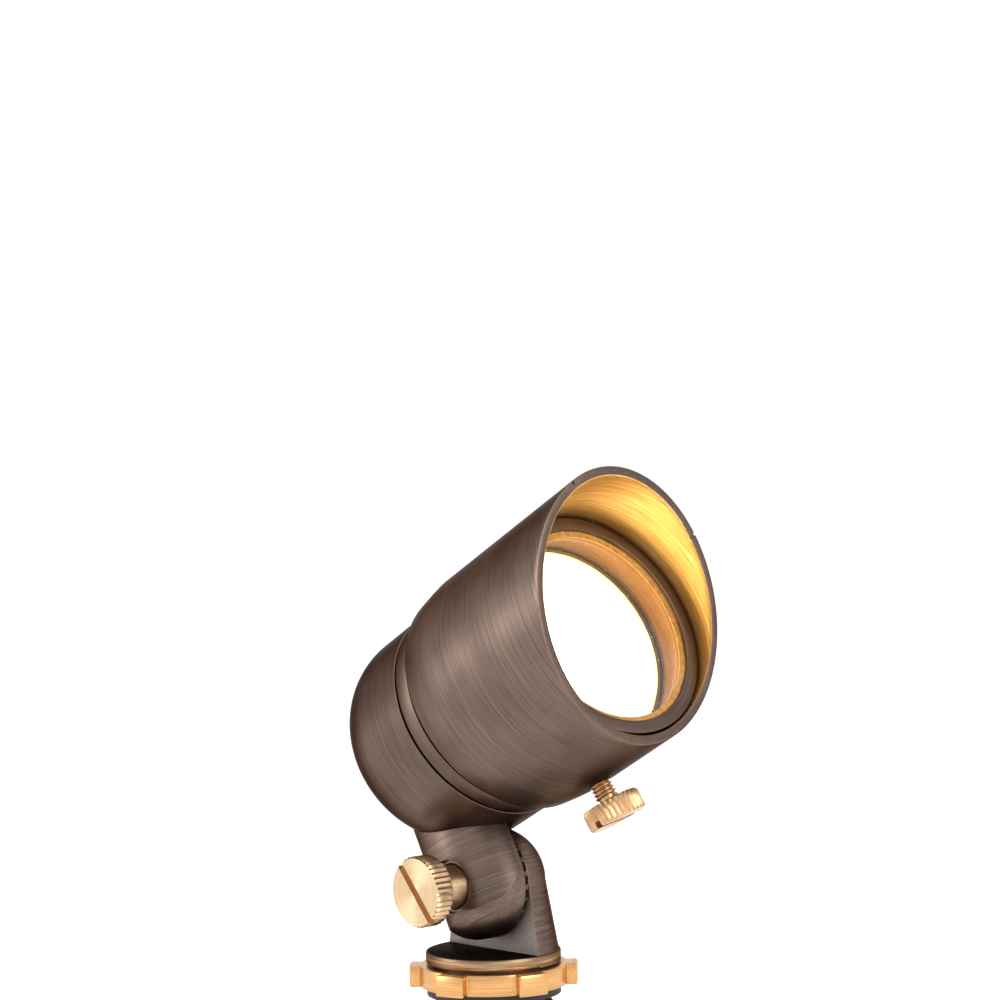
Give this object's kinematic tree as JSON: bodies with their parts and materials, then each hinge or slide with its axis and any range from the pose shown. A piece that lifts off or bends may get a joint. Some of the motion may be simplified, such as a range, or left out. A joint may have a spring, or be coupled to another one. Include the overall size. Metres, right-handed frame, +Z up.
{
  "type": "mini spotlight",
  "caption": "Low-voltage landscape spotlight: brass bullet head with a slanted glare shroud on a toothed tilting knuckle above a threaded stem.",
  "frame": {"origin": "on the stem's axis, at the underside of the flat seal, where the face of the hub lies", "axes": "+Z up the stem's axis, +X the way the head points over the ground, Y along the knuckle bolt with its head on -Y"},
  "size_m": [0.0654, 0.0446, 0.1023],
  "materials": {
    "aged_bronze": "dark antique bronze, brushed round the axis",
    "bright_brass": "bright machined brass",
    "pale_brass": "pale turned and knurled brass",
    "stainless_steel": "satin stainless steel",
    "black_rubber": "matte black rubber",
    "white_silicone": "satin white silicone sheath",
    "amber_silicone": "clear silicone that glows amber",
    "white_ceramic": "glazed white steatite ceramic",
    "red_nylon": "red nylon crimp sleeve",
    "natural_nylon": "natural nylon",
    "mirror_glass": "faceted mirror-coated glass",
    "lit_glass": "lit warm white glass",
    "clear_glass": "clear tempered glass with fine dust"
  },
  "bodies": {
    "base": {"mounting_bracket": "aged_bronze", "stem_grommet": "black_rubber"},
    "gasket": {"stem_gasket": "black_rubber"},
    "nut": {"locknut": "bright_brass"},
    "washer": {"knuckle_washer": "stainless_steel"},
    "bolt": {"knuckle_bolt": "pale_brass"},
    "head": {"rear_housing": "aged_bronze", "bolt_seal": "black_rubber", "lamp_socket": "white_ceramic", "socket_contacts": "bright_brass", "socket_bracket": "stainless_steel", "socket_screws": "stainless_steel", "bracket_screws": "stainless_steel", "lead_a": "white_silicone", "lead_b": "white_silicone", "lead_splices": "red_nylon"},
    "lamp": {"lamp_reflector": "mirror_glass", "lamp_cover": "lit_glass", "lamp_capsule": "lit_glass", "lamp_pins": "stainless_steel"},
    "barrel_seal": {"barrel_o_ring": "black_rubber"},
    "barrel": {"front_barrel": "aged_bronze", "lens": "clear_glass", "lens_gasket": "amber_silicone"},
    "shroud_carrier": {"shroud_ring": "black_rubber"},
    "shroud": {"shroud": "aged_bronze"},
    "tip": {"thumbscrew_tip": "natural_nylon"},
    "thumb": {"thumbscrew": "pale_brass"}
  },
  "joints": [
    {"name": "gasket_travel", "type": "slide", "parent": "base", "child": "gasket", "axis": [0, 0, -1], "range_m": [0, 0.0073]},
    {"name": "locknut_turn", "type": "hinge", "parent": "gasket", "child": "nut", "pos_m": [0, 0, 0.00335], "axis": [0, 0, -1], "range_deg": [0, 1440]},
    {"name": "washer_travel", "type": "slide", "parent": "base", "child": "washer", "axis": [0, -1, 0], "range_m": [0, 0.0021]},
    {"name": "bolt_turn", "type": "hinge", "parent": "washer", "child": "bolt", "pos_m": [0, 0, 0.01985], "axis": [0, -1, 0], "range_deg": [0, 720]},
    {"name": "head_tilt", "type": "hinge", "parent": "base", "child": "head", "pos_m": [0, 0, 0.01985], "axis": [0, -1, 0], "range_deg": [-70, 30]},
    {"name": "lamp_pull", "type": "slide", "parent": "head", "child": "lamp", "axis": [0.8829, 0, 0.4695], "range_m": [0, 0.0035]},
    {"name": "barrel_seal_travel", "type": "slide", "parent": "head", "child": "barrel_seal", "axis": [0.8829, 0, 0.4695], "range_m": [0, 0.0051]},
    {"name": "barrel_turn", "type": "hinge", "parent": "barrel_seal", "child": "barrel", "pos_m": [-0.01258, 0, 0.04351], "axis": [0.8829, 0, 0.4695], "range_deg": [0, 1800]},
    {"name": "shroud_slide", "type": "slide", "parent": "barrel", "child": "shroud_carrier", "axis": [0.8829, 0, 0.4695], "range_m": [0, 0.011]},
    {"name": "shroud_turn", "type": "hinge", "parent": "shroud_carrier", "child": "shroud", "pos_m": [-0.01258, 0, 0.04351], "axis": [0.8829, 0, 0.4695], "continuous": true},
    {"name": "tip_travel", "type": "slide", "parent": "shroud", "child": "tip", "axis": [0.4623, 0.1736, -0.8695], "range_m": [0, 0.00145]},
    {"name": "thumbscrew_turn", "type": "hinge", "parent": "tip", "child": "thumb", "pos_m": [0.01382, 0, 0.05755], "axis": [0.4623, 0.1736, -0.8695], "range_deg": [0, 720]}
  ],
  "couplings": [
    {"joint": "gasket_travel", "follows": "locknut_turn", "m_per_rad": 0.00028871},
    {"joint": "washer_travel", "follows": "bolt_turn", "m_per_rad": 0.00015915},
    {"joint": "barrel_seal_travel", "follows": "barrel_turn", "m_per_rad": 0.00015915},
    {"joint": "tip_travel", "follows": "thumbscrew_turn", "m_per_rad": 0.00011141}
  ]
}
